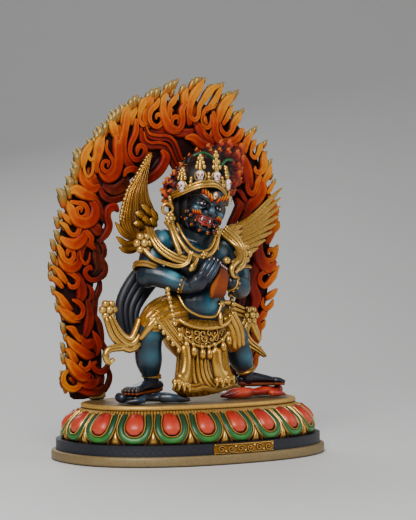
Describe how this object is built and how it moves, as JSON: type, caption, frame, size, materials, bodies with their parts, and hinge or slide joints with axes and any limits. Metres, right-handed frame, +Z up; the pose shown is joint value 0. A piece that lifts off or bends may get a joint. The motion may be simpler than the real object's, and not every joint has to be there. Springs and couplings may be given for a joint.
{
  "type": "vajrakilaya statue",
  "caption": "Winged wrathful deity striding over two prone figures on an oval lotus base, in front of a leaning horseshoe of carved flames, a small hand-painted resin statue",
  "frame": {"origin": "centre of the underside of the base, on the surface that it stands on", "axes": "+Z up, the deity faces -Y, +X towards its left hand, the viewer's right"},
  "size_m": [0.095, 0.065, 0.125],
  "materials": {
    "base_paint": "buff and old gold paint on cast resin, dark band, dark wash in the recesses",
    "flame_paint": "deep red to orange airbrushed paint with buff gold tips and a dark wash in the grooves",
    "skin_paint": "dark blue paint with paler airbrushed highlights, satin",
    "gold_paint": "bright gold paint, brown wash in the recesses, satin metallic",
    "night_paint": "blue black satin paint",
    "coral_paint": "coral red satin paint",
    "green_paint": "leaf green satin paint",
    "bone_paint": "white paint with red eye sockets"
  },
  "bodies": {
    "root": {"lotus_base": "base_paint", "flame_aureole": "flame_paint", "deity_figure": "skin_paint", "trampled_figure_blue": "night_paint", "trampled_figure_red": "coral_paint"}
  },
  "joints": []
}
